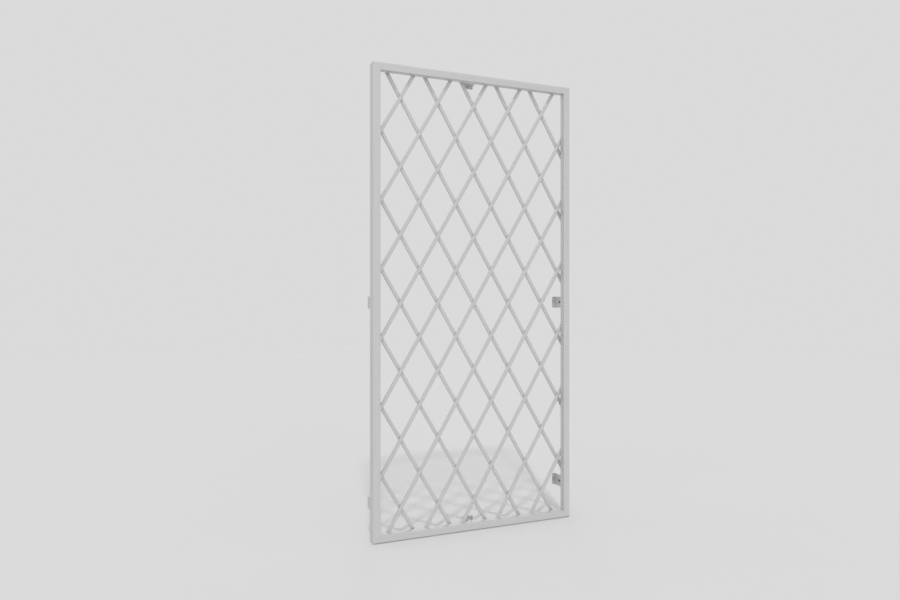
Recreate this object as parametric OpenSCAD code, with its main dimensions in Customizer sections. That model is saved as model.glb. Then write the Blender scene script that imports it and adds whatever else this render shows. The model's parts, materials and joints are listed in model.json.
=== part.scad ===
// Framed diamond-lattice security grille for a window.
// +X is to the right seen from outside, +Y points from the street towards the wall, +Z is up.
// The origin is the centre of the grille, in the plane where the bracket feet meet the window frame.

/* [Frame] */
// Overall width of the grille
frame_w = 644; // [636:1:652]
// Overall height of the grille
frame_h = 1370; // [1360:1:1378]
// Width of every frame member, seen from the front
face_w = 22; // [21:0.5:24]
// Depth of the hollow front box of a frame member
box_d = 20; // [18:0.5:22]
// Depth of a frame member at its outer side, rear flange included
side_d = 35; // [35:0.5:38]
// Wall thickness of the front and inner sides
wall_t = 1.5; // [1.2:0.1:2]
// Wall thickness of the rear side, which holds the screws
rear_t = 2; // [1.6:0.1:2.5]
// Thickness of the outer flange
flange_t = 2; // [1.6:0.1:2.4]
// Radius of the outer front edge
edge_r = 4; // [2.5:0.5:5]

/* [Lattice] */
// Width of a lattice bar, seen from the front
bar_w = 10.5; // [9:0.5:12]
// Thickness of a lattice bar
bar_t = 7.4; // [6.5:0.1:7.4]
// Wall thickness of a lattice bar
bar_wall = 1.3; // [1:0.1:1.6]
// Corner radius of a lattice bar
bar_r = 2; // [1:0.25:2.5]
// Distance from the frame's inner edge to the crossings beside it
side_inset = 8.5; // [8:0.5:10]
// Height of one lattice diamond
pitch_z = 199.6; // [198:0.2:201]

/* [Brackets] */
// Distance from the front face to the plane of the bracket feet
standoff = 80; // [80:0.5:84]
// Height of a bracket
bracket_h = 36; // [34:1:38]
// Plate thickness of the bracket arm and foot
plate_t = 3; // [2.5:0.1:3]
// Height of the lower side brackets, measured down from the centre
low_z = 582; // [576:1:588]
// Travel of the arm on the foot, each way
travel = 8; // [6:0.5:8]
// Length of a foot on the window frame
foot_l = 13; // [12.5:0.5:16]
// Radius of the fixing holes in a foot
foot_hole_r = 2.25; // [2:0.05:2.3]

/* [Hidden] */
$fn = 32;
gap = 0.1;                           // between neighbouring parts
cut = 1;                             // reach of a cutter past the surface
overlap = 0.5;                       // reach of a shape into the one it joins
opening_x = frame_w / 2 - face_w;    // half width of the opening
opening_z = frame_h / 2 - face_w;    // half height of the opening

// depths, front to rear
y_front = -standoff;
y_box = y_front + box_d;             // rear face of the front box
y_front_bar = y_box + gap;           // front face of the front bars
y_rear_bar = y_front_bar + bar_t + gap;
y_end = y_rear_bar + bar_t;          // rear face of the rear bars

// frame section
inner_r = 0.8;                       // edges beside the opening
tip_r = 0.6;                         // edges of the flange tip
fillet_r = 1.2;                      // between flange and box
groove_y = 2.6;                      // from the front face
groove_w = 1.2;
groove_d = 0.6;

// mitres
mitre_gap = 0.06;
mitre_in = 10;                       // reach of the trimming shape inside the opening edge
mitre_out = 40;                      // and outside it

// corner cleats and their grub screws
cleat_reach = 18;                    // past the inner corner
cleat_gap = 0.3;
cleat_wall = 3;
cleat_mid = (wall_t + face_w - flange_t) / 2;
grub_in = 7;                         // from the inner corner
grub_hole_r = 2;
grub_r = 1.95;

// lattice
diamonds_x = 5;                      // crossings span 5 diamonds across
diamonds_z = 6;                      // and 6 high
last_bar = 5;                        // bars of a layer are numbered -5 to 5
pitch_x = 2 * (opening_x - side_inset) / diamonds_x;
slope = pitch_z / pitch_x;
lean = 90 - atan(slope);             // angle of a bar from the vertical
bar_stock = 1750;                    // length before trimming
bar_over = 14;                       // bars run this far behind the frame
end_in = 8;                          // end screws, behind the inner edge
end_x = opening_x + end_in;
end_z = opening_z + end_in;
front_dir = 1;                       // front bars rise to the right
rear_dir = -1;                       // rear bars fall to the right

// screws
pilot_r = 1.6;                       // holes the bar screws bite in
clear_r = 1.7;                       // holes the bar screws pass through
bar_screw_r = 1.55;
bar_head_r = 3.4;
crossing_screw_l = 11.5;
seat_gap = 0.05;                     // under a screw head
screw_past = 4;                      // shank beyond the frame's rear wall
spacer_r = 4.6;
spacer_hole_r = 1.8;

// brackets, drawn for the right-hand stile
arm_outer_x = frame_w / 2 - flange_t - gap;
arm_inner_x = arm_outer_x - plate_t;
arm_end_y = -travel - 2;
arm_corner_r = 5;
tab_x = opening_x + 3;               // edge of the tab nearest the opening
tab_in = 9.5;                        // tab holes, behind the inner edge
tab_hole_x = opening_x + tab_in;
tab_hole_r = 2.2;
tab_pilot_r = 2;
arm_screw_r = 1.95;
arm_head_r = 3.8;
web_outer_x = arm_inner_x - gap;
web_inner_x = web_outer_x - plate_t;
web_l = 42;
foot_corner_r = 4;
foot_hole_x = opening_x + 8;
hole_dz = 10;                        // tab and foot holes, each side of the bracket's middle
bend_r = 2;                          // inside radius of the bends

// clamp screw that ties an arm to its foot
clamp_y = -25;
clamp_hole_r = 2.5;
slot_r = 2.7;
slot_reach = travel + 0.5;
clamp_r = 2.45;
clamp_head_r = 4.6;
clamp_head_h = 2.6;
clamp_socket_r = 1.7;
clamp_socket_d = 1.7;
washer_r = 6;
washer_hole_r = 2.65;
washer_t = 1;
washer_x = web_inner_x - gap - washer_t;
clamp_seat_x = washer_x - gap;
clamp_head_x = clamp_seat_x - clamp_head_h;

metal = [0.77, 0.77, 0.76];
metal_dark = [0.72, 0.72, 0.71];
steel = [0.6, 0.6, 0.62];
nylon = [0.75, 0.75, 0.73];

// ---- hole and screw places, as [x, z] ---------------------------------

// front bar k crosses rear bar j
function crosses(j, k) = abs(j + k) <= diamonds_x && abs(j - k) <= diamonds_z;
function cross_at(j, k) = [(j + k) * pitch_x / 2, (j - k) * pitch_z / 2];
function crossings_front(k) = [for (j = [-last_bar:last_bar]) if (crosses(j, k)) cross_at(j, k)];
function crossings_rear(j) = [for (k = [-last_bar:last_bar]) if (crosses(j, k)) cross_at(j, k)];

// end screw of a bar at its left (side -1) or right (side 1) end:
// behind a stile if the bar reaches one, else behind a rail
function bar_end(number, dir, side) =
  let (z = dir * slope * (side * end_x - number * pitch_x))
  abs(z) < end_z
    ? [side * end_x, z]
    : [number * pitch_x + dir * sign(z) * end_z / slope, sign(z) * end_z];
function bar_ends(dir) =
  [for (number = [-last_bar:last_bar]) for (side = [-1, 1]) bar_end(number, dir, side)];
ends_front = bar_ends(front_dir);
ends_rear = bar_ends(rear_dir);

tab_holes = [
  for (side = [-1, 1]) for (z = [0, -low_z]) for (d = [-1, 1])
    [side * tab_hole_x, z + d * hole_dz],
  for (side = [-1, 1]) for (d = [-1, 1])
    [d * hole_dz, side * (opening_z + tab_in)]];

// the two grub screws of the top right corner, then of all corners
corner_grubs = [[opening_x - grub_in, opening_z + cleat_mid],
                [opening_x + cleat_mid, opening_z - grub_in]];
grubs = [for (sx = [-1, 1]) for (sz = [-1, 1]) for (p = corner_grubs) [sx * p[0], sz * p[1]]];

// ---- helpers ----------------------------------------------------------

// cylinder along +Y from y0 to y1, at place [x, z]
module yrod(place, y0, y1, r) {
  translate([place[0], y0, place[1]]) rotate([-90, 0, 0]) cylinder(r = r, h = y1 - y0);
}
// cylinder along +X from x0 to x1
module xrod(y, z, x0, x1, r) {
  translate([x0, y, z]) rotate([0, 90, 0]) cylinder(r = r, h = x1 - x0);
}
// cutter for a hole along Y through a wall whose front face is at y
module drill(place, y, thickness, r) { yrod(place, y - cut, y + thickness + cut, r); }

// keeps (1) or flips (-1) a shape left to right and top to bottom
module flip(sx, sz) {
  mirror([sx < 0 ? 1 : 0, 0, 0]) mirror([0, 0, sz < 0 ? 1 : 0]) children();
}

// pan-head screw with a cross recess; y is the face under its head
module pan_screw(place, y, length, r, head_r) {
  rim_h = 1.2;
  recess_w = 0.8;
  recess_l = head_r * 1.1;
  difference() {
    union() {
      yrod(place, y - length, y + overlap, r);
      yrod(place, y, y + rim_h, head_r);
      translate([place[0], y + rim_h, place[1]]) rotate([-90, 0, 0])
        cylinder(r1 = head_r, r2 = head_r - 1.1, h = 0.8);
    }
    for (size = [[recess_l, recess_w], [recess_w, recess_l]])
      translate([place[0] - size[0] / 2, y + 0.9, place[1] - size[1] / 2])
        cube([size[0], 2, size[1]]);
  }
}

// ---- frame ------------------------------------------------------------

// section of a member: x is outward from the opening, y is depth from the front face
module member_section() {
  flange_x = face_w - flange_t;
  difference() {
    union() {
      // box with rounded edges
      translate([inner_r, 0]) square([face_w - inner_r - edge_r, box_d]);
      translate([0, inner_r]) square([face_w - edge_r, box_d - 2 * inner_r]);
      translate([inner_r, edge_r]) square([face_w - inner_r, box_d - edge_r]);
      for (y = [inner_r, box_d - inner_r]) translate([inner_r, y]) circle(r = inner_r);
      translate([face_w - edge_r, edge_r]) circle(r = edge_r);
      // outer flange with softened edges
      translate([flange_x, box_d / 2]) square([flange_t, side_d - box_d / 2 - tip_r]);
      translate([flange_x + tip_r, box_d / 2])
        square([flange_t - 2 * tip_r, side_d - box_d / 2]);
      for (x = [tip_r, flange_t - tip_r])
        translate([flange_x + x, side_d - tip_r]) circle(r = tip_r);
      // fillet where the flange leaves the box
      difference() {
        translate([flange_x - fillet_r, box_d - overlap])
          square([fillet_r + overlap, fillet_r + overlap]);
        translate([flange_x - fillet_r, box_d + fillet_r]) circle(r = fillet_r);
      }
    }
    // hollow, rounded inside the outer front edge
    translate([wall_t, wall_t])
      square([face_w - edge_r - wall_t, box_d - wall_t - rear_t]);
    translate([wall_t, edge_r]) square([flange_x - wall_t, box_d - edge_r - rear_t]);
    translate([face_w - edge_r, edge_r]) circle(r = edge_r - flange_t);
    // fine shadow groove on the inner side
    translate([-cut, groove_y]) square([groove_d + cut, groove_w]);
  }
}
module member(length) {
  linear_extrude(height = length + 10, center = true) member_section();
}
// trims members to an outline of [x, z] points
module mitre_prism(points) {
  rotate([90, 0, 0]) linear_extrude(height = 400, center = true) polygon(points);
}

module right_blank() {
  x0 = opening_x - mitre_in;
  x1 = opening_x + mitre_out;
  z0 = opening_z - mitre_in - mitre_gap;
  z1 = opening_z + mitre_out - mitre_gap;
  intersection() {
    translate([opening_x, y_front, 0]) member(frame_h);
    mitre_prism([[x0, -z0], [x1, -z1], [x1, z1], [x0, z0]]);
  }
}
module top_blank() {
  x0 = opening_x - mitre_in - mitre_gap;
  x1 = opening_x + mitre_out - mitre_gap;
  z0 = opening_z - mitre_in;
  z1 = opening_z + mitre_out;
  intersection() {
    translate([0, y_front, opening_z]) rotate([0, -90, 0]) member(frame_w);
    mitre_prism([[-x0, z0], [x0, z0], [x1, z1], [-x1, z1]]);
  }
}

// holes in the rear wall of one member: axis 0 for stiles, 1 for rails
module rear_wall_holes(axis, side) {
  edge = [opening_x, opening_z][axis];
  for (set = [[ends_front, pilot_r], [ends_rear, pilot_r],
              [tab_holes, tab_pilot_r], [grubs, grub_hole_r]])
    for (p = set[0]) if (side * p[axis] > edge) drill(p, y_box - rear_t, rear_t, set[1]);
}
// side is -1 for left, 1 for right
module stile(side) color(metal) difference() {
  flip(side, 1) right_blank();
  rear_wall_holes(0, side);
}
// side is -1 for bottom, 1 for top
module rail(side) color(metal) difference() {
  flip(1, side) top_blank();
  rear_wall_holes(1, side);
}

// angle that joins two members inside the hollow, drawn for the top right corner
module cleat() {
  inner = wall_t + cleat_gap;
  outer = face_w - flange_t - cleat_gap;
  y0 = y_front + edge_r + 0.4;
  y1 = y_box - rear_t - 0.2;
  x_start = opening_x - cleat_reach;
  z_start = opening_z - cleat_reach;
  pocket = outer - inner - 2 * cleat_wall;
  difference() {
    translate([0, (y0 + y1) / 2, 0]) rotate([90, 0, 0])
      linear_extrude(height = y1 - y0, center = true)
        polygon([[x_start, opening_z + inner], [opening_x + inner, opening_z + inner],
                 [opening_x + inner, z_start], [opening_x + outer, z_start],
                 [opening_x + outer, opening_z + outer], [x_start, opening_z + outer]]);
    // pocket in the corner, open to the front
    translate([opening_x + inner + cleat_wall, y0 - cut, opening_z + inner + cleat_wall])
      cube([pocket, y1 - y0 - cleat_wall, pocket]);
    for (p = corner_grubs) yrod(p, y0 + cleat_wall, y1 + cut, grub_hole_r);
  }
}
module corner_cleat(sx, sz) color(metal_dark) flip(sx, sz) cleat();

// hexagon-socket screws, set just below the rear wall's rear face
module corner_grub_screws() color(steel)
  for (p = grubs) difference() {
    yrod(p, y_box - 8, y_box - 0.3, grub_r);
    yrod(p, y_box - 2.6, y_box + 0.4, 1.15, $fn = 6);
  }

// ---- lattice ----------------------------------------------------------

module rounded_rect(w, h, r) {
  translate([-w / 2 + r, -h / 2]) square([w - 2 * r, h]);
  translate([-w / 2, -h / 2 + r]) square([w, h - 2 * r]);
  for (x = [-1, 1]) for (y = [-1, 1])
    translate([x * (w / 2 - r), y * (h / 2 - r)]) circle(r = r);
}
// hollow bar with its front face at y, trimmed parallel to the frame behind its inner edge
module bar_blank(number, dir, y) {
  trim_x = opening_x + bar_over;
  trim_z = opening_z + bar_over;
  intersection() {
    translate([number * pitch_x, y + bar_t / 2, 0]) rotate([0, dir * lean, 0])
      linear_extrude(height = bar_stock, center = true) difference() {
        rounded_rect(bar_w, bar_t, bar_r);
        rounded_rect(bar_w - 2 * bar_wall, bar_t - 2 * bar_wall, max(0.4, bar_r - bar_wall));
      }
    translate([-trim_x, y - 5, -trim_z]) cube([2 * trim_x, bar_t + 10, 2 * trim_z]);
  }
}
module bar_end_holes(number, dir, y) {
  for (side = [-1, 1]) drill(bar_end(number, dir, side), y, bar_t, clear_r);
}
// node index i runs from 1, bar numbers from -last_bar
module front_bar(i) color(metal) difference() {
  number = i - last_bar - 1;
  bar_blank(number, front_dir, y_front_bar);
  // screws from behind stop inside the front bars
  for (p = crossings_front(number))
    yrod(p, y_front_bar + bar_t / 2, y_front_bar + bar_t + cut, pilot_r);
  bar_end_holes(number, front_dir, y_front_bar);
}
module rear_bar(i) color(metal) difference() {
  number = i - last_bar - 1;
  bar_blank(number, rear_dir, y_rear_bar);
  for (p = crossings_rear(number)) drill(p, y_rear_bar, bar_t, clear_r);
  bar_end_holes(number, rear_dir, y_rear_bar);
}

module bar_screws(places, y, length) {
  for (p = places) pan_screw(p, y + seat_gap, length, bar_screw_r, bar_head_r);
}
module crossing_screws() color(steel)
  for (k = [-last_bar:last_bar]) bar_screws(crossings_front(k), y_end, crossing_screw_l);
module front_bar_end_screws() color(steel)
  bar_screws(ends_front, y_front_bar + bar_t, bar_t + rear_t + screw_past);
module rear_bar_end_screws() color(steel)
  bar_screws(ends_rear, y_end, 2 * bar_t + rear_t + screw_past);

// packs out the rear bars, which stand one bar thickness behind the frame
module rear_bar_spacers() color(nylon)
  for (p = ends_rear) difference() {
    yrod(p, y_front_bar, y_front_bar + bar_t, spacer_r);
    drill(p, y_front_bar, bar_t, spacer_hole_r);
  }

// ---- brackets ---------------------------------------------------------

// bracket places: 0 left mid, 1 left low, 2 right mid, 3 right low, 4 top, 5 bottom
module at_place(i) {
  if (i < 4)
    translate([0, 0, i % 2 == 1 ? -low_z : 0]) flip(i < 2 ? -1 : 1, 1) children();
  else
    flip(1, i == 5 ? -1 : 1) translate([0, 0, opening_z - opening_x]) rotate([0, -90, 0])
      children();
}

// plate on the Y-Z plane, along +Y from the origin, with rounded corners at its far end
module tongue(length, r) {
  translate([0, 0, -bracket_h / 2]) cube([plate_t, length - r, bracket_h]);
  translate([0, 0, -bracket_h / 2 + r]) cube([plate_t, length, bracket_h - 2 * r]);
  for (s = [-1, 1]) xrod(length - r, s * (bracket_h / 2 - r), 0, plate_t, r);
}

// Bends are drawn with the inside corner at the origin, between a plate on its +X side
// and a plate on its -Y side.
module bend_cylinder(r, over) {
  translate([-bend_r, bend_r, -bracket_h / 2 - over]) cylinder(r = r, h = bracket_h + 2 * over);
}
// material to add inside the bend
module bend_inside() difference() {
  translate([-bend_r, -overlap, -bracket_h / 2])
    cube([bend_r + overlap, bend_r + overlap, bracket_h]);
  bend_cylinder(bend_r, cut);
}
// material to take off outside the bend
module bend_outside() {
  size = bend_r + plate_t + cut;
  difference() {
    translate([-bend_r, -plate_t - cut, -bracket_h / 2 - cut])
      cube([size, size, bracket_h + 2 * cut]);
    bend_cylinder(bend_r + plate_t, 2 * cut);
  }
}
module at_arm_bend() translate([arm_inner_x, y_box + gap + plate_t, 0]) children();
module at_foot_bend() translate([web_inner_x, -plate_t, 0]) mirror([0, 1, 0]) children();

module arm_shape() {
  tab_y = y_box + gap;
  difference() {
    union() {
      translate([arm_inner_x, tab_y, 0]) tongue(arm_end_y - tab_y, arm_corner_r);
      translate([tab_x, tab_y, -bracket_h / 2]) cube([arm_outer_x - tab_x, plate_t, bracket_h]);
      at_arm_bend() bend_inside();
    }
    at_arm_bend() bend_outside();
    for (s = [-1, 1]) drill([tab_hole_x, s * hole_dz], tab_y, plate_t, tab_hole_r);
    xrod(clamp_y, 0, arm_inner_x - cut, arm_outer_x + cut, clamp_hole_r);
  }
}
module foot_shape() difference() {
  union() {
    // web beside the arm
    translate([web_inner_x, 0, 0]) mirror([0, 1, 0]) tongue(web_l, foot_corner_r);
    // sole on the window frame
    translate([web_outer_x, -plate_t, 0]) rotate([0, 0, 90]) tongue(foot_l, foot_corner_r);
    at_foot_bend() bend_inside();
  }
  at_foot_bend() bend_outside();
  for (s = [-1, 1]) drill([foot_hole_x, s * hole_dz], -plate_t, plate_t, foot_hole_r);
  // slot along the stand-off direction
  for (s = [-1, 1])
    xrod(clamp_y + s * slot_reach, 0, web_inner_x - cut, web_outer_x + cut, slot_r);
  translate([web_inner_x - cut, clamp_y - slot_reach, -slot_r])
    cube([plate_t + 2 * cut, 2 * slot_reach, 2 * slot_r]);
}
module bracket_arm(i) color(metal) at_place(i) arm_shape();
module bracket_foot(i) color(metal) at_place(i) foot_shape();

module arm_screws() color(steel)
  for (i = [0:5]) at_place(i) for (s = [-1, 1])
    pan_screw([tab_hole_x, s * hole_dz], y_box + gap + plate_t + seat_gap,
              plate_t + rear_t + screw_past, arm_screw_r, arm_head_r);

// hexagon-socket screws with their heads on the opening side of the web
module clamp_screws() color(steel)
  for (i = [0:5]) at_place(i) difference() {
    union() {
      xrod(clamp_y, 0, clamp_seat_x - 0.8, arm_outer_x - gap, clamp_r);
      xrod(clamp_y, 0, clamp_head_x, clamp_seat_x, clamp_head_r);
    }
    xrod(clamp_y, 0, clamp_head_x - 0.2, clamp_head_x + clamp_socket_d, clamp_socket_r, $fn = 6);
  }
module clamp_washers() color(steel)
  for (i = [0:5]) at_place(i) difference() {
    xrod(clamp_y, 0, washer_x, washer_x + washer_t, washer_r);
    xrod(clamp_y, 0, washer_x - cut, washer_x + washer_t + cut, washer_hole_r);
  }

// ---- assembly ---------------------------------------------------------

rail(1);  // top_rail
rail(-1);  // bottom_rail
stile(-1);  // left_stile
stile(1);  // right_stile
corner_cleat(-1, 1);  // corner_cleat_top_left
corner_cleat(1, 1);  // corner_cleat_top_right
corner_cleat(-1, -1);  // corner_cleat_bottom_left
corner_cleat(1, -1);  // corner_cleat_bottom_right
corner_grub_screws();
front_bar(1);  // front_bar_01
front_bar(2);  // front_bar_02
front_bar(3);  // front_bar_03
front_bar(4);  // front_bar_04
front_bar(5);  // front_bar_05
front_bar(6);  // front_bar_06
front_bar(7);  // front_bar_07
front_bar(8);  // front_bar_08
front_bar(9);  // front_bar_09
front_bar(10);  // front_bar_10
front_bar(11);  // front_bar_11
rear_bar(1);  // rear_bar_01
rear_bar(2);  // rear_bar_02
rear_bar(3);  // rear_bar_03
rear_bar(4);  // rear_bar_04
rear_bar(5);  // rear_bar_05
rear_bar(6);  // rear_bar_06
rear_bar(7);  // rear_bar_07
rear_bar(8);  // rear_bar_08
rear_bar(9);  // rear_bar_09
rear_bar(10);  // rear_bar_10
rear_bar(11);  // rear_bar_11
crossing_screws();
front_bar_end_screws();
rear_bar_end_screws();
rear_bar_spacers();
bracket_arm(0);  // bracket_arm_left_mid
bracket_arm(1);  // bracket_arm_left_low
bracket_arm(2);  // bracket_arm_right_mid
bracket_arm(3);  // bracket_arm_right_low
bracket_arm(4);  // bracket_arm_top
bracket_arm(5);  // bracket_arm_bottom
bracket_foot(0);  // bracket_foot_left_mid
bracket_foot(1);  // bracket_foot_left_low
bracket_foot(2);  // bracket_foot_right_mid
bracket_foot(3);  // bracket_foot_right_low
bracket_foot(4);  // bracket_foot_top
bracket_foot(5);  // bracket_foot_bottom
arm_screws();
clamp_screws();
clamp_washers();
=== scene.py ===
"""An aluminium lattice frame: two stiles and two rails around crossing front and rear bars,
with corner cleats, bracket arms and feet, screws, washers and spacers.

It stands upright in the X-Z plane: stiles run along Z, rails along X. The front faces -Y and
left is -X. Lengths are in metres.
"""
import json
import math
from functools import cached_property

import bmesh
import bpy
import numpy as np
from mathutils import Matrix, Vector

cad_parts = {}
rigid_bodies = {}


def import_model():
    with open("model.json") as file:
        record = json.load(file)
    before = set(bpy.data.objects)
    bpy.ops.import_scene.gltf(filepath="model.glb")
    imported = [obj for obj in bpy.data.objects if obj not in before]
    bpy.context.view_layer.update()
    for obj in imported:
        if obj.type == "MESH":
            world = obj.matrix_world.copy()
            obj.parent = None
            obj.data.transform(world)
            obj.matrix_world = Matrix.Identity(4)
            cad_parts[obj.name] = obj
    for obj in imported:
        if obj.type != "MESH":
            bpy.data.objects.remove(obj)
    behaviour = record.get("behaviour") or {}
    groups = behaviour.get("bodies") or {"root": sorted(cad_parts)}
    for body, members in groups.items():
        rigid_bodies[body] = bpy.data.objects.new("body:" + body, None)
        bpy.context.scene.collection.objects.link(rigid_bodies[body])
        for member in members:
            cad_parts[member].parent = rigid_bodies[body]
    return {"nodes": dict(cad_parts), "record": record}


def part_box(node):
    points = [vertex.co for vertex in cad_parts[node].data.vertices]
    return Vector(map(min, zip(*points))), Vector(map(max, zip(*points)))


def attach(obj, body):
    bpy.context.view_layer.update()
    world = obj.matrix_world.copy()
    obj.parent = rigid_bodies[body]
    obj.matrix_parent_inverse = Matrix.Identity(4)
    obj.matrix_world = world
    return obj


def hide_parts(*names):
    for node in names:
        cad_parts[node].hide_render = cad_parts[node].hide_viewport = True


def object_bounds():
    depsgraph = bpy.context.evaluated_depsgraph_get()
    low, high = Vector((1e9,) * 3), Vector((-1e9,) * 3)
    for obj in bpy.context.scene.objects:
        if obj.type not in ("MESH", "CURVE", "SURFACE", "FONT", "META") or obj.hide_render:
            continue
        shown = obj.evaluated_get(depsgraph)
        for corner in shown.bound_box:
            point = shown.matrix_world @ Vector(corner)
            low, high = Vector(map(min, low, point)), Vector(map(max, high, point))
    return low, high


MM = 0.001

# colours of the bare metals and the nylon
FRAME_TONE = (0.645, 0.647, 0.648)
BAR_TONE = (0.634, 0.636, 0.637)
ARM_TONE = (0.635, 0.638, 0.632)
FOOT_TONE = (0.625, 0.628, 0.622)
CLEAT_TONE = (0.52, 0.52, 0.515)
STEEL_TONE = (0.68, 0.675, 0.66)
NYLON_TONE = (0.62, 0.61, 0.58)

# floor
FLOOR_GAP = 0.0005  # below the lowest CAD point
FLOOR_RADIUS = 60
FLOOR_SEGMENTS = 96
FLOOR_SEEN = 0.779  # brightness to the camera
FLOOR_BOUNCE = 0.72  # brightness to every other ray
FLOOR_FADE = (2.2, 9.0)  # distances over which it fades into the backdrop

# studio light: a level all round, plus what each side adds
ALL_ROUND = 0.60
FROM_FRONT = 0.12
OTHER_SIDES = (  # axis, sign, level
    (1, 1.0, 0.05),  # back
    (0, -1.0, 0.16),  # left
    (0, 1.0, 0.0),  # right
    (2, 1.0, 0.0),  # above
)
BACKDROP = 0.705

for left_over in list(bpy.data.objects):
    bpy.data.objects.remove(left_over)

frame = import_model()
bpy.context.view_layer.update()
cad_low, cad_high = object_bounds()
cad_nodes = frame["nodes"]
body_of_node = {node: body for body, members in frame["record"]["behaviour"]["bodies"].items()
                for node in members}
scene = bpy.context.scene


# ---------------------------------------------------------------------------
# shader helpers
# ---------------------------------------------------------------------------

class NodeTree:
    """A short way to write a node tree: most calls return an output socket."""

    def __init__(self, owner):
        owner.use_nodes = True
        self.tree = owner.node_tree
        self.tree.nodes.clear()

    def put(self, socket, value):
        """Links a socket or sets a constant; a colour gets its alpha here."""
        if isinstance(value, bpy.types.NodeSocket):
            self.tree.links.new(value, socket)
            return
        if isinstance(value, tuple) and len(socket.default_value) == 4:
            value = (*value, 1.0)
        socket.default_value = value

    def node(self, kind, inputs=None, **settings):
        made = self.tree.nodes.new("ShaderNode" + kind)
        for key, value in settings.items():
            setattr(made, key, value)
        for key, value in (inputs or {}).items():
            self.put(made.inputs[key], value)
        return made

    def math(self, operation, a, b=0.0, c=0.0, clamp=False):
        return self.node("Math", {0: a, 1: b, 2: c}, operation=operation,
                         use_clamp=clamp).outputs[0]

    def times(self, a, b):
        return self.math("MULTIPLY", a, b)

    def add(self, base, value, gain, clamp=False):
        """base + value * gain"""
        return self.math("MULTIPLY_ADD", value, gain, base, clamp)

    def vary(self, base, noise, by, clamp=False):
        """Moves base up and down with a noise that is centred on 0.5."""
        return self.add(base, self.math("SUBTRACT", noise, 0.5), by, clamp)

    def split(self, vector):
        return self.node("SeparateXYZ", {0: vector}).outputs


class Shader(NodeTree):
    """A material's node tree, with its textures in object coordinates."""

    def __init__(self, name):
        self.material = bpy.data.materials.new(name)
        super().__init__(self.material)
        self.output = self.node("OutputMaterial")
        self.coord = self.node("TexCoord").outputs["Object"]

    @cached_property
    def geometry(self):
        return self.node("NewGeometry").outputs

    def ramp(self, value, span, to, shape="LINEAR"):
        """Maps the range span onto the range to."""
        ends = dict(enumerate((value, *span, *to)))
        return self.node("MapRange", ends, interpolation_type=shape).outputs[0]

    def ease(self, value, span, to=(0.0, 1.0)):
        return self.ramp(value, span, to, "SMOOTHSTEP")

    def mix(self, amount, under, over):
        return self.node("Mix", {0: amount, 6: under, 7: over}, data_type="RGBA").outputs[2]

    def scaled(self, vector, factor):
        return self.node("VectorMath", {0: vector, "Scale": factor}, operation="SCALE").outputs[0]

    def noise(self, scale, detail, rough, distort=0.0, at=None):
        inputs = {"Vector": at or self.coord, "Scale": scale, "Detail": detail,
                  "Roughness": rough, "Distortion": distort}
        return self.node("TexNoise", inputs).outputs[0]

    def streaks(self, scale, detail, rough, turn=0.0, shift=(0.0, 0.0, 0.0)):
        """Noise turned about Y, then scaled per axis; it runs along the smallest scale."""
        at = self.coord
        if turn:
            at = self.node("VectorRotate", {"Vector": at, "Angle": turn},
                           rotation_type="Y_AXIS").outputs[0]
        inputs = {"Vector": at, "Location": shift, "Scale": scale}
        at = self.node("Mapping", inputs, vector_type="POINT").outputs[0]
        return self.noise(scale=1.0, detail=detail, rough=rough, at=at)

    def bump(self, height, distance, strength, normal=None):
        inputs = {"Height": height, "Distance": distance, "Strength": strength}
        if normal is not None:
            inputs["Normal"] = normal
        return self.node("Bump", inputs).outputs[0]

    def rounded(self, radius):
        return self.node("Bevel", {"Radius": radius}, samples=4).outputs[0]

    def edges(self, soft):
        """How far the rounded normal leaves the true one: above 0 only near edges."""
        inputs = {0: soft, 1: self.geometry["Normal"]}
        dot = self.node("VectorMath", inputs, operation="DOT_PRODUCT").outputs["Value"]
        return self.math("SUBTRACT", 1.0, dot)

    def crevice(self, reach, span, amount):
        """Mask for painted shade: amount in tight corners, falling to 0 in the open."""
        open_air = self.node("AmbientOcclusion", {"Distance": reach}, samples=4).outputs["AO"]
        return self.ease(open_air, span=span, to=(amount, 0.0))

    def soiling_and_painted_shade(self, body, mottle, reach, span, amount, colour):
        """Mottled soiling and painted shade in the corners and where pieces cross."""
        patchy = self.ramp(mottle, span=(0.3, 0.7), to=(0.5, 1.0))
        return self.mix(self.times(self.crevice(reach, span, amount), patchy), body, colour)

    def principled(self, **inputs):
        inputs = {key.replace("_", " "): value for key, value in inputs.items()}
        surface = self.node("BsdfPrincipled", inputs)
        self.put(self.output.inputs["Surface"], surface.outputs[0])
        return self.material


# ---------------------------------------------------------------------------
# materials
# ---------------------------------------------------------------------------

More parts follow.
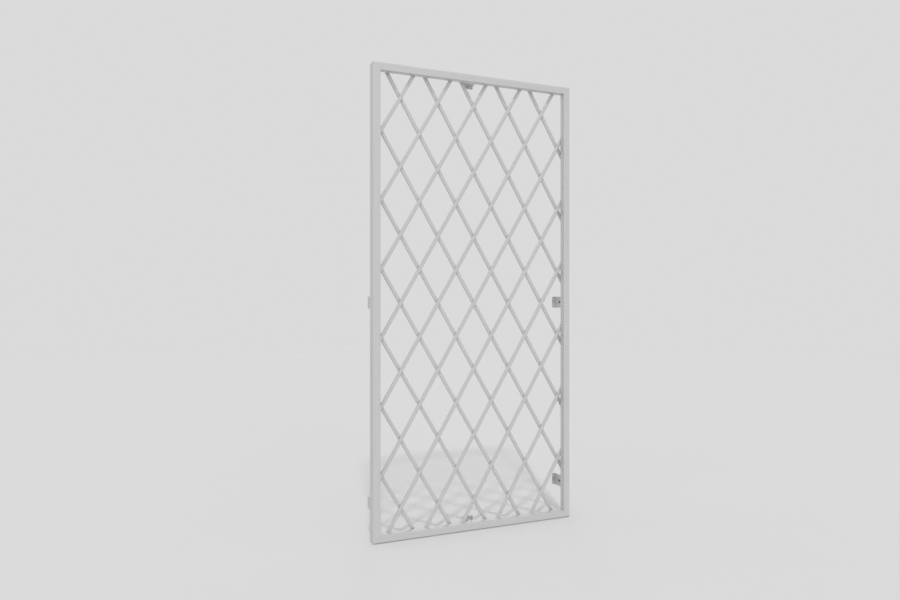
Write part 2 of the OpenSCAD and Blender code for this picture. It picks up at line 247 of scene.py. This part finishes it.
def satin_aluminium(name, tone, axis, seed, turn=0.0, edge=0.0007, wear=0.5):
    """Extruded aluminium with a satin silver finish. axis is the one it was drawn along."""
    look = Shader(name)

    def drawn(along, across):
        return tuple(along if letter == axis else across for letter in "xyz")

    die = look.streaks(scale=drawn(along=5, across=900), detail=4.0, rough=0.62,
                       turn=turn, shift=(seed, seed * 2, -seed))
    band = look.streaks(scale=drawn(along=1.2, across=160), detail=3.0, rough=0.5,
                        turn=turn, shift=(-seed, seed, seed * 3))
    cloud = look.noise(scale=4.5, detail=4.0, rough=0.55, distort=0.4)
    mottle = look.noise(scale=55.0, detail=5.0, rough=0.6)
    pebble = look.noise(scale=1500.0, detail=2.0, rough=0.5)

    # broad and fine changes of tone
    value = look.vary(1.0, cloud, by=0.05)
    value = look.vary(value, band, by=0.07)
    value = look.vary(value, die, by=0.11)
    value = look.vary(value, mottle, by=0.03)
    body = look.scaled(tone, value)

    # rain runs: faint, straight down, in patches
    runs = look.streaks(scale=(230, 230, 2.2), detail=3.0, rough=0.6, shift=(seed + 3, 0, 0))
    patch = look.ease(look.noise(scale=7.0, detail=2.0, rough=0.5), span=(0.42, 0.68))
    run = look.times(look.ease(runs, span=(0.56, 0.74), to=(0.0, 0.16)), patch)
    body = look.mix(run, body, over=(tone[0] * 0.80, tone[1] * 0.79, tone[2] * 0.76))

    # mottled soiling plus painted shade, darker in corners and where the bars cross
    body = look.soiling_and_painted_shade(body, mottle, reach=0.009, span=(0.18, 0.72), amount=0.30,
                      colour=(0.30, 0.295, 0.28))

    # dust settles on what faces up
    upward = look.split(look.geometry["True Normal"])[2]
    specks = look.noise(scale=90.0, detail=5.0, rough=0.65)
    dust = look.times(look.ease(upward, span=(0.35, 0.95), to=(0.0, 0.22)),
                      look.ramp(specks, span=(0.35, 0.7), to=(0.25, 1.0)))
    body = look.mix(dust, body, over=(0.55, 0.535, 0.50))

    # edges rubbed through to brighter metal
    soft = look.rounded(edge)
    rubs = look.noise(scale=240.0, detail=4.0, rough=0.65)
    worn = look.times(look.ease(look.edges(soft), span=(0.012, 0.16)),
                      look.ease(rubs, span=(0.40, 0.62), to=(0.0, wear)))
    body = look.mix(worn, body, over=(0.80, 0.80, 0.795))

    rough = look.vary(0.38, mottle, by=0.16)
    rough = look.vary(rough, die, by=0.14)
    rough = look.add(rough, dust, gain=1.1)
    rough = look.add(rough, worn, gain=-0.14, clamp=True)

    normal = look.bump(die, distance=0.00003, strength=0.6, normal=soft)
    normal = look.bump(pebble, distance=0.000012, strength=0.6, normal=normal)
    normal = look.bump(mottle, distance=0.00025, strength=0.12, normal=normal)
    return look.principled(Base_Color=body, Metallic=0.3, Roughness=rough, Normal=normal,
                           Specular_IOR_Level=0.5)


def sheet_aluminium(name, tone, seed):
    """Pressed plate for the brackets: rolled grain, brushed bends, small scuffs."""
    look = Shader(name)
    rolled = look.streaks(scale=(700, 40, 700), detail=4.0, rough=0.6, shift=(seed, 0, 0))
    cloud = look.noise(scale=16.0, detail=4.0, rough=0.55)
    mottle = look.noise(scale=120.0, detail=5.0, rough=0.6)
    value = look.vary(1.0, cloud, by=0.14)
    value = look.vary(value, rolled, by=0.10)
    body = look.scaled(tone, value)

    scuff = look.streaks(scale=(60, 900, 260), detail=5.0, rough=0.7, turn=0.5,
                         shift=(seed, 4, 1))
    marks = look.ease(scuff, span=(0.64, 0.72), to=(0.0, 0.35))
    body = look.mix(marks, body, over=(0.72, 0.72, 0.71))
    # mottled soiling plus painted shade, darker in the bracket's corners
    body = look.soiling_and_painted_shade(body, mottle, reach=0.008, span=(0.10, 0.6), amount=0.10,
                      colour=(0.36, 0.35, 0.335))

    soft = look.rounded(radius=0.0008)
    worn = look.times(look.ease(look.edges(soft), span=(0.01, 0.14)),
                      look.ease(mottle, span=(0.38, 0.58), to=(0.2, 0.9)))
    body = look.mix(worn, body, over=(0.80, 0.80, 0.79))

    rough = look.vary(0.44, rolled, by=0.2)
    rough = look.vary(rough, mottle, by=0.18, clamp=True)
    normal = look.bump(rolled, distance=0.00003, strength=0.6, normal=soft)
    normal = look.bump(mottle, distance=0.0002, strength=0.15, normal=normal)
    return look.principled(Base_Color=body, Metallic=0.4, Roughness=rough, Normal=normal)


def cast_aluminium(name, tone):
    """Die-cast corner cleats: sandy skin, small pits."""
    look = Shader(name)
    sand = look.noise(scale=1100.0, detail=3.0, rough=0.6)
    cells = look.node("TexVoronoi", {"Vector": look.coord, "Scale": 420.0}, feature="F1")
    pits = look.ease(cells.outputs["Distance"], span=(0.0, 0.35))
    cloud = look.noise(scale=60.0, detail=4.0, rough=0.55)
    body = look.scaled(tone, look.vary(1.0, cloud, by=0.22))
    body = look.mix(look.ramp(pits, span=(0.0, 0.6), to=(0.35, 0.0)), body,
                    over=(0.24, 0.24, 0.235))
    rough = look.vary(0.58, sand, by=0.25, clamp=True)
    normal = look.bump(sand, distance=0.00008, strength=0.7, normal=look.rounded(radius=0.0006))
    normal = look.bump(pits, distance=0.00010, strength=0.5, normal=normal)
    return look.principled(Base_Color=body, Metallic=0.7, Roughness=rough, Normal=normal)


def stainless(name, tone):
    """Stainless screws: turned marks, light discolouring and painted shade in the recess."""
    look = Shader(name)
    fine = look.noise(scale=2600.0, detail=3.0, rough=0.6)
    cloud = look.noise(scale=140.0, detail=4.0, rough=0.6)
    body = look.scaled(tone, look.vary(1.0, cloud, by=0.25))
    # discolouring plus painted shade, darker in the recess and under the head
    discolour_and_shade = look.crevice(reach=0.0018, span=(0.10, 0.7), amount=0.45)
    body = look.mix(discolour_and_shade, body, over=(0.22, 0.20, 0.18))
    spots = look.ease(look.noise(scale=700.0, detail=4.0, rough=0.7),
                      span=(0.63, 0.72), to=(0.0, 0.35))
    body = look.mix(spots, body, over=(0.33, 0.27, 0.21))
    rough = look.vary(0.27, cloud, by=0.22)
    rough = look.add(rough, spots, gain=0.6, clamp=True)
    normal = look.bump(fine, distance=0.00002, strength=0.5)
    return look.principled(Base_Color=body, Metallic=1.0, Roughness=rough, Normal=normal)


def moulded_nylon(name, tone):
    """Moulded spacer: slightly cloudy, fine matt skin, a little soiling and painted shade in its
    corners.
    """
    look = Shader(name)
    skin = look.noise(scale=1800.0, detail=2.0, rough=0.5)
    cloud = look.noise(scale=90.0, detail=3.0, rough=0.5)
    body = look.scaled(tone, look.vary(1.0, cloud, by=0.16))
    # soiling plus painted shade, darker where the spacer meets the bars
    soiling_and_corner_shade = look.crevice(reach=0.004, span=(0.1, 0.7), amount=0.4)
    body = look.mix(soiling_and_corner_shade, body, over=(0.25, 0.23, 0.20))
    rough = look.vary(0.55, skin, by=0.2, clamp=True)
    normal = look.bump(skin, distance=0.00004, strength=0.5)
    return look.principled(Base_Color=body, Roughness=rough, Normal=normal,
                           Subsurface_Weight=0.08, Subsurface_Radius=(0.001, 0.001, 0.0008))


def lattice_lean():
    """Angle of the bars from upright, taken from the middle front bar."""
    end_allowance = 0.010  # taken off the width of the bar's box
    low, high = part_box("front_bar_06")
    if high.z - low.z > 1e-3:
        return math.atan2(high.x - low.x - end_allowance, high.z - low.z)
    return math.atan2(116.6, 199.6)  # used only if that box has no height


lean = lattice_lean()
finishes = {}  # start of a CAD node's name: its material
for member, axis, seed in (("left_stile", "z", 1.7), ("right_stile", "z", 5.3),
                           ("top_rail", "x", 9.1), ("bottom_rail", "x", 12.9)):
    finishes[member] = satin_aluminium("satin_aluminium_" + member, FRAME_TONE, axis, seed)
for member, turn, seed in (("front_bar", -lean, 21.0), ("rear_bar", lean, 33.0)):
    finishes[member] = satin_aluminium(f"satin_aluminium_{member}s", BAR_TONE, "z", seed,
                                       turn=turn, edge=0.0005, wear=0.25)
finishes["bracket_arm"] = sheet_aluminium("bracket_arm_sheet", ARM_TONE, seed=2.0)
finishes["bracket_foot"] = sheet_aluminium("bracket_foot_sheet", FOOT_TONE, seed=7.0)
finishes["corner_cleat"] = cast_aluminium("cleat_cast_aluminium", CLEAT_TONE)
steel = stainless("fastener_stainless", STEEL_TONE)
nylon = moulded_nylon("spacer_nylon", NYLON_TONE)
finishes["front_bar_end"] = finishes["rear_bar_end"] = steel
finishes["rear_bar_spacers"] = nylon


def finish_of(node):
    """The finish with the longest matching name; steel for the rest."""
    starts = [start for start in finishes if node.startswith(start)]
    return finishes[max(starts, key=len)] if starts else steel


for node, piece in cad_nodes.items():
    for material_slot in piece.material_slots:
        material_slot.material = finish_of(node)


# ---------------------------------------------------------------------------
# mesh helpers: pieces are built about the Y axis
# ---------------------------------------------------------------------------

def solids_of(node):
    """(lowest corner, highest corner) of each separate solid of a CAD node."""
    mesh = cad_nodes[node].data
    points = np.zeros(len(mesh.vertices) * 3)
    mesh.vertices.foreach_get("co", points)
    points = points.reshape(-1, 3)
    # vertices within a micrometre count as one
    _, same = np.unique(np.round(points * 1e6).astype(np.int64), axis=0, return_inverse=True)
    same = same.ravel()
    root = list(range(int(same.max()) + 1))

    def find(i):
        while root[i] != i:
            root[i] = root[root[i]]
            i = root[i]
        return i

    for polygon in mesh.polygons:
        first, *others = [find(int(same[i])) for i in polygon.vertices]
        for other in others:
            if other != first:
                root[find(other)] = find(first)
    group = np.array([find(int(i)) for i in same])
    found = []
    for label in np.unique(group):
        members = points[group == label]
        found.append((Vector(members.min(0)), Vector(members.max(0))))
    return sorted(found, key=lambda box: (round(box[0].z, 5), round(box[0].x, 5),
                                          round(box[0].y, 5)))


def to_mesh(draft, name):
    bmesh.ops.remove_doubles(draft, verts=draft.verts, dist=2e-7)
    bmesh.ops.dissolve_degenerate(draft, edges=draft.edges, dist=1e-7)
    bmesh.ops.recalc_face_normals(draft, faces=draft.faces)
    mesh = bpy.data.meshes.new(name)
    draft.to_mesh(mesh)
    draft.free()
    return mesh


def circle(draft, radius, y, segments):
    angles = (2 * math.pi * i / segments for i in range(segments))
    return [draft.verts.new((radius * math.cos(a), y, radius * math.sin(a))) for a in angles]


def turned(name, profile, segments):
    """Closed solid of revolution about Y from (radius, y) points; a radius of 0 is a pole."""
    draft = bmesh.new()
    rings = [[draft.verts.new((0, y, 0))] if radius <= 1e-9
             else circle(draft, radius, y, segments) for radius, y in profile]
    for a, b in zip(rings, rings[1:]):
        for i in range(segments):
            j = (i + 1) % segments
            quad = [a[i % len(a)], b[i % len(b)], b[j % len(b)], a[j % len(a)]]
            quad = [vert for k, vert in enumerate(quad) if vert not in quad[:k]]
            if len(quad) > 2:
                draft.faces.new(quad)
    return to_mesh(draft, name)


def prism(name, outline, bottom, top, taper, tip_drop):
    """Prism along Y with its outline in X-Z; the bottom is scaled by taper and ends in a tip."""
    draft = bmesh.new()
    low = [draft.verts.new((x * taper, bottom, z * taper)) for x, z in outline]
    high = [draft.verts.new((x, top, z)) for x, z in outline]
    count = len(outline)
    for i in range(count):
        j = (i + 1) % count
        draft.faces.new((low[i], low[j], high[j], high[i]))
    draft.faces.new(high[::-1])
    tip = draft.verts.new((0, bottom - tip_drop, 0))
    for i in range(count):
        draft.faces.new((low[(i + 1) % count], low[i], tip))
    return to_mesh(draft, name)


def cut(mesh, cutter):
    """mesh minus cutter, as a new mesh."""
    target = bpy.data.objects.new("cut_a", mesh)
    tool = bpy.data.objects.new("cut_b", cutter)
    scene.collection.objects.link(target)
    scene.collection.objects.link(tool)
    boolean = target.modifiers.new("cut", "BOOLEAN")
    boolean.operation = "DIFFERENCE"
    boolean.solver = "EXACT"
    boolean.object = tool
    graph = bpy.context.evaluated_depsgraph_get()
    done = bpy.data.meshes.new_from_object(target.evaluated_get(graph), depsgraph=graph)
    bpy.data.objects.remove(target)
    bpy.data.objects.remove(tool)
    return done


# ---------------------------------------------------------------------------
# small turned and moulded pieces, finer than the CAD stand-ins
# ---------------------------------------------------------------------------

def thread(radius, root, start, stop, pitch, crest_end, runout):
    """Thread crests and roots as plain rings; crest_end is a share of the pitch."""
    profile = []
    y = start
    while y < stop:
        profile += [(root, y), (radius, y + pitch * 0.42), (radius, y + pitch * crest_end)]
        y += pitch
    return profile + [(root, y), (radius, y + runout)]


def cut_hexagon(mesh, radius, bottom, tip_drop):
    """Hexagon outline of the given radius and the highest Y of mesh; nothing is cut."""
    outline = [(radius * math.cos(math.pi * i / 3), radius * math.sin(math.pi * i / 3))
               for i in range(6)]
    height = max(vert.co.y for vert in mesh.vertices)
    return outline, height


def hexagon_socket(radius, bottom, top, tip_drop):
    outline = [(radius * math.cos(math.pi * i / 3), radius * math.sin(math.pi * i / 3))
               for i in range(6)]
    return prism("socket", outline, bottom, top, taper=1.0, tip_drop=tip_drop)


def cross_outline(arm, half):
    return [(arm, half), (half, half), (half, arm), (-half, arm), (-half, half), (-arm, half),
            (-arm, -half), (-half, -half), (-half, -arm), (half, -arm), (half, -half),
            (arm, -half)]


PAN_HEAD = 2.0 * MM  # height of a pan head
PAN_RIM = 0.62 * MM  # height at which its dome starts


def pan_screw(length, radius, head):
    """Pan-head screw with a cross recess, under-head face at y = 0, shank to -length."""
    root = radius * 0.80
    profile = [(0.0, -length), (root * 0.25, -length + 0.05 * MM),
               (root * 0.9, -length + 1.5 * MM)]
    profile += thread(radius, root, start=-length + 1.9 * MM, stop=-1.2 * MM, pitch=0.9 * MM,
                      crest_end=0.52, runout=0.25 * MM)
    profile += [(radius, 0.0), (head - 0.25 * MM, 0.0), (head - 0.07 * MM, 0.06 * MM),
                (head, 0.22 * MM), (head, PAN_RIM)]
    steps = 9
    for i in range(1, steps):
        angle = i / steps * math.pi / 2
        profile.append((head * (0.30 + 0.70 * math.cos(angle) ** 0.9),
                        PAN_RIM + (PAN_HEAD - PAN_RIM) * math.sin(angle) ** 0.95))
    profile += [(head * 0.30, PAN_HEAD), (0.0, PAN_HEAD)]
    recess = prism("recess", cross_outline(arm=head * 0.56, half=0.42 * MM), bottom=0.75 * MM,
                   top=2.3 * MM, taper=0.62, tip_drop=0.25 * MM)
    return cut(turned("screw", profile, segments=28), recess)


def cap_screw(length, radius, head, head_height, socket, socket_depth):
    """Cap screw with a hexagon socket, under-head face at y = 0, head to +head_height."""
    root = radius * 0.84
    chamfer = 0.35 * MM
    profile = [(0.0, -length), (root * 0.72, -length), (root, -length + 0.6 * MM)]
    profile += thread(radius, root, start=-length + 0.9 * MM, stop=-1.4 * MM, pitch=0.8 * MM,
                      crest_end=0.55, runout=0.3 * MM)
    profile += [(radius, 0.0), (head - chamfer * 0.4, 0.0), (head, chamfer * 0.4),
                (head, head_height - chamfer),
                (head - chamfer * 0.3, head_height - chamfer * 0.3),
                (head - chamfer, head_height), (socket + 0.35 * MM, head_height),
                (0.0, head_height)]
    return cut(turned("cap", profile, segments=36),
               hexagon_socket(socket, bottom=head_height - socket_depth,
                              top=head_height + 0.5 * MM, tip_drop=0.3 * MM))


def grub_screw(length, radius, socket):
    """Headless screw with its hexagon socket at y = 0."""
    root = radius * 0.84
    chamfer = 0.35 * MM
    profile = [(0.0, -length), (root * 0.6, -length), (root, -length + 0.5 * MM)]
    profile += thread(radius, root, start=-length + 0.7 * MM, stop=-1.1 * MM, pitch=0.8 * MM,
                      crest_end=0.55, runout=0.3 * MM)
    profile += [(radius, -chamfer), (radius - chamfer, 0.0), (0.0, 0.0)]
    return cut(turned("grub", profile, segments=28),
               hexagon_socket(socket, bottom=-2.3 * MM, top=0.5 * MM, tip_drop=0.2 * MM))


def ring(inner, outer, height, chamfer, bulge=0.0):
    """Washer or spacer along Y from 0 to height, with its edges broken."""
    segments = 36
    nick = chamfer * 0.3
    profile = [(inner, chamfer), (inner + chamfer, 0.0), (outer - chamfer, 0.0),
               (outer - nick, nick), (outer, chamfer)]
    if bulge:
        profile += [(outer + bulge, height / 2)]
    profile += [(outer, height - chamfer), (outer - nick, height - nick),
                (outer - chamfer, height), (inner + chamfer, height), (inner, height - chamfer)]
    draft = bmesh.new()
    loops = [circle(draft, radius, y, segments) for radius, y in profile]
    for a, b in zip(loops, loops[1:] + loops[:1]):
        for i in range(segments):
            j = (i + 1) % segments
            draft.faces.new((a[i], b[i], b[j], a[j]))
    return to_mesh(draft, "ring")


def gather(node, part, places, material=steel):
    """One piece with a copy of part at every matrix in places; it stands for the CAD node."""
    name = node + "_fine"
    draft = bmesh.new()
    for place in places:
        before = len(draft.verts)
        draft.from_mesh(part)
        draft.verts.ensure_lookup_table()
        bmesh.ops.transform(draft, matrix=place, verts=draft.verts[before:])
    mesh = bpy.data.meshes.new(name)
    draft.to_mesh(mesh)
    draft.free()
    for polygon in mesh.polygons:
        polygon.use_smooth = True
    mesh.set_sharp_from_angle(angle=math.radians(32))
    piece = bpy.data.objects.new(name, mesh)
    scene.collection.objects.link(piece)
    mesh.materials.append(material)
    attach(piece, body_of_node[node])
    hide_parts(node)


def rear_ends(node):
    """Length along Y of a node's first solid, and the middle of every solid's rear end."""
    solids = solids_of(node)
    low, high = solids[0]
    return high.y - low.y, [Vector(((a.x + b.x) / 2, b.y, (a.z + b.z) / 2)) for a, b in solids]


def places_at(ends, setback=0.0, turn_step=47.3):
    """Places a setback in front of each end, each turned about Y by a different amount."""
    return [Matrix.Translation(end - Vector((0, setback, 0)))
            @ Matrix.Rotation(math.radians((k * turn_step) % 90.0), 4, "Y")
            for k, end in enumerate(ends)]


def clamp_solids(node):
    """(centre, outward direction, thickness, turn) of each solid around the frame's edge.

    The turn lays the Y axis pointing inwards.
    """
    found = []
    for low, high in solids_of(node):
        centre = (low + high) / 2
        if abs(centre.x) < 0.1:
            outward = Vector((0, 0, math.copysign(1, centre.z)))
        else:
            outward = Vector((math.copysign(1, centre.x), 0, 0))
        up_axis = "Z" if abs(outward.z) < 0.5 else "X"
        turn = (-outward).to_track_quat("Y", up_axis).to_matrix().to_4x4()
        found.append((centre, outward, abs((high - low).dot(outward)), turn))
    return found


for node, head, shank in (  # head and shank radius in mm
        ("crossing_screws", 3.4, 1.55), ("front_bar_end_screws", 3.4, 1.55),
        ("rear_bar_end_screws", 3.4, 1.55), ("arm_screws", 3.8, 1.95)):
    total, ends = rear_ends(node)
    gather(node, pan_screw(total - PAN_HEAD, shank * MM, head * MM), places_at(ends, PAN_HEAD))

total, ends = rear_ends("corner_grub_screws")
gather("corner_grub_screws", grub_screw(total, radius=1.95 * MM, socket=1.15 * MM),
       places_at(ends))

total, ends = rear_ends("rear_bar_spacers")
spacer = ring(inner=1.8 * MM, outer=4.45 * MM, height=total, chamfer=0.4 * MM, bulge=0.13 * MM)
gather("rear_bar_spacers", spacer, places_at(ends, total, turn_step=0.0), nylon)

CAP_HEAD = 2.6 * MM  # height of a clamp screw's head
places = []
for centre, outward, total, turn in clamp_solids("clamp_screws"):
    inner_end = centre - outward * total / 2
    places.append(Matrix.Translation(inner_end + outward * CAP_HEAD) @ turn)
cap = cap_screw(total - CAP_HEAD, radius=2.45 * MM, head=4.6 * MM, head_height=CAP_HEAD,
                socket=1.7 * MM, socket_depth=1.8 * MM)
gather("clamp_screws", cap, places)

places = []
for centre, outward, total, turn in clamp_solids("clamp_washers"):
    places.append(Matrix.Translation(centre + outward * total / 2) @ turn)
washer = ring(inner=2.65 * MM, outer=6.0 * MM, height=total, chamfer=0.15 * MM)
gather("clamp_washers", washer, places)


# ---------------------------------------------------------------------------
# floor, light and camera
# ---------------------------------------------------------------------------

def pale_floor():
    look = Shader("pale_floor")
    speck = look.noise(scale=140.0, detail=4.0, rough=0.6)
    wide = look.noise(scale=0.8, detail=3.0, rough=0.5)
    seen = look.node("LightPath").outputs["Is Camera Ray"]
    tone = look.add(FLOOR_BOUNCE, seen, gain=FLOOR_SEEN - FLOOR_BOUNCE)
    tone = look.vary(tone, speck, by=0.02)
    tone = look.vary(tone, wide, by=0.012)
    colour = look.scaled((1.0, 1.0, 0.996), tone)
    diffuse = look.node("BsdfDiffuse", {"Color": colour}).outputs[0]
    clear = look.node("BsdfTransparent").outputs[0]
    # seen from below it is clear, and far away it fades into the backdrop
    distance = look.node("VectorMath", {0: look.coord}, operation="LENGTH").outputs["Value"]
    far = look.times(look.ease(distance, span=FLOOR_FADE), seen)
    hidden = look.math("MAXIMUM", look.geometry["Backfacing"], far)
    both = look.node("MixShader", {0: hidden, 1: diffuse, 2: clear})
    look.put(look.output.inputs["Surface"], both.outputs[0])
    return look.material


def build_floor():
    mesh = bpy.data.meshes.new("floor")
    draft = bmesh.new()
    angles = (2 * math.pi * i / FLOOR_SEGMENTS for i in range(FLOOR_SEGMENTS))
    draft.faces.new([draft.verts.new((FLOOR_RADIUS * math.cos(a), FLOOR_RADIUS * math.sin(a), 0))
                     for a in angles])
    draft.to_mesh(mesh)
    draft.free()
    floor = bpy.data.objects.new("floor", mesh)
    floor.location = (0, 0, cad_low.z - FLOOR_GAP)
    scene.collection.objects.link(floor)
    mesh.materials.append(pale_floor())


def build_world():
    """Soft uneven light on every side; the camera sees a plain backdrop instead."""
    world = bpy.data.worlds.new("studio")
    scene.world = world
    sky = NodeTree(world)
    output = sky.node("OutputWorld")
    direction = sky.split(sky.node("TexCoord").outputs["Generated"])

    def side(axis, sign, level, rest):
        """Adds light that is strongest on one side and gone at right angles to it."""
        facing = sky.math("MAXIMUM", sky.times(direction[axis], sign), 0.0)
        return sky.add(rest, facing, level)

    # the front light is left out of reflections, so the faces don't fade from top to bottom
    mirrored = sky.node("LightPath").outputs["Is Glossy Ray"]
    front_level = sky.add(FROM_FRONT, mirrored, gain=-FROM_FRONT)
    studio = side(1, -1.0, front_level, ALL_ROUND)
    for axis, sign, level in OTHER_SIDES:
        studio = side(axis, sign, level, studio)
    seen = sky.node("LightPath").outputs["Is Camera Ray"]
    pick = sky.node("Mix", {0: seen, 2: studio, 3: BACKDROP}, data_type="FLOAT")
    background = sky.node("Background", {"Color": pick.outputs[0], "Strength": 1.0})
    sky.put(output.inputs[0], background.outputs[0])


def sun(name, travel, energy, angle):
    """A sun whose light goes along travel; angle is its width in degrees."""
    light = bpy.data.lights.new(name, "SUN")
    light.energy = energy
    light.angle = math.radians(angle)
    lamp = bpy.data.objects.new(name, light)
    lamp.rotation_mode = "QUATERNION"
    lamp.rotation_quaternion = Vector(travel).to_track_quat("-Z", "Y")
    scene.collection.objects.link(lamp)
    return lamp


def build_camera():
    lens = bpy.data.cameras.new("camera")
    lens.sensor_width = 36.0
    lens.lens = 25.72
    lens.shift_y = -0.0017
    lens.clip_start = 0.02
    lens.clip_end = 300.0
    camera = bpy.data.objects.new("camera", lens)
    camera.location = (-0.780, -1.854, 0.012)
    camera.rotation_euler = (math.radians(90.0), 0.0, math.radians(-21.3))
    scene.collection.objects.link(camera)
    scene.camera = camera


build_floor()
build_world()
sun("key", travel=(0.137, 0.546, -0.826), energy=0.74, angle=5.0)
sun("fill_back", travel=(-0.30, -0.85, -0.42), energy=0.20, angle=20.0)
front = sun("front", travel=(0.02, 1.0, -0.03), energy=0.67, angle=40.0)
front.visible_glossy = False
build_camera()

scene.view_settings.view_transform = "Standard"
scene.view_settings.look = "None"
scene.view_settings.exposure = 0.0
scene.view_settings.gamma = 1.0

bpy.context.view_layer.update()
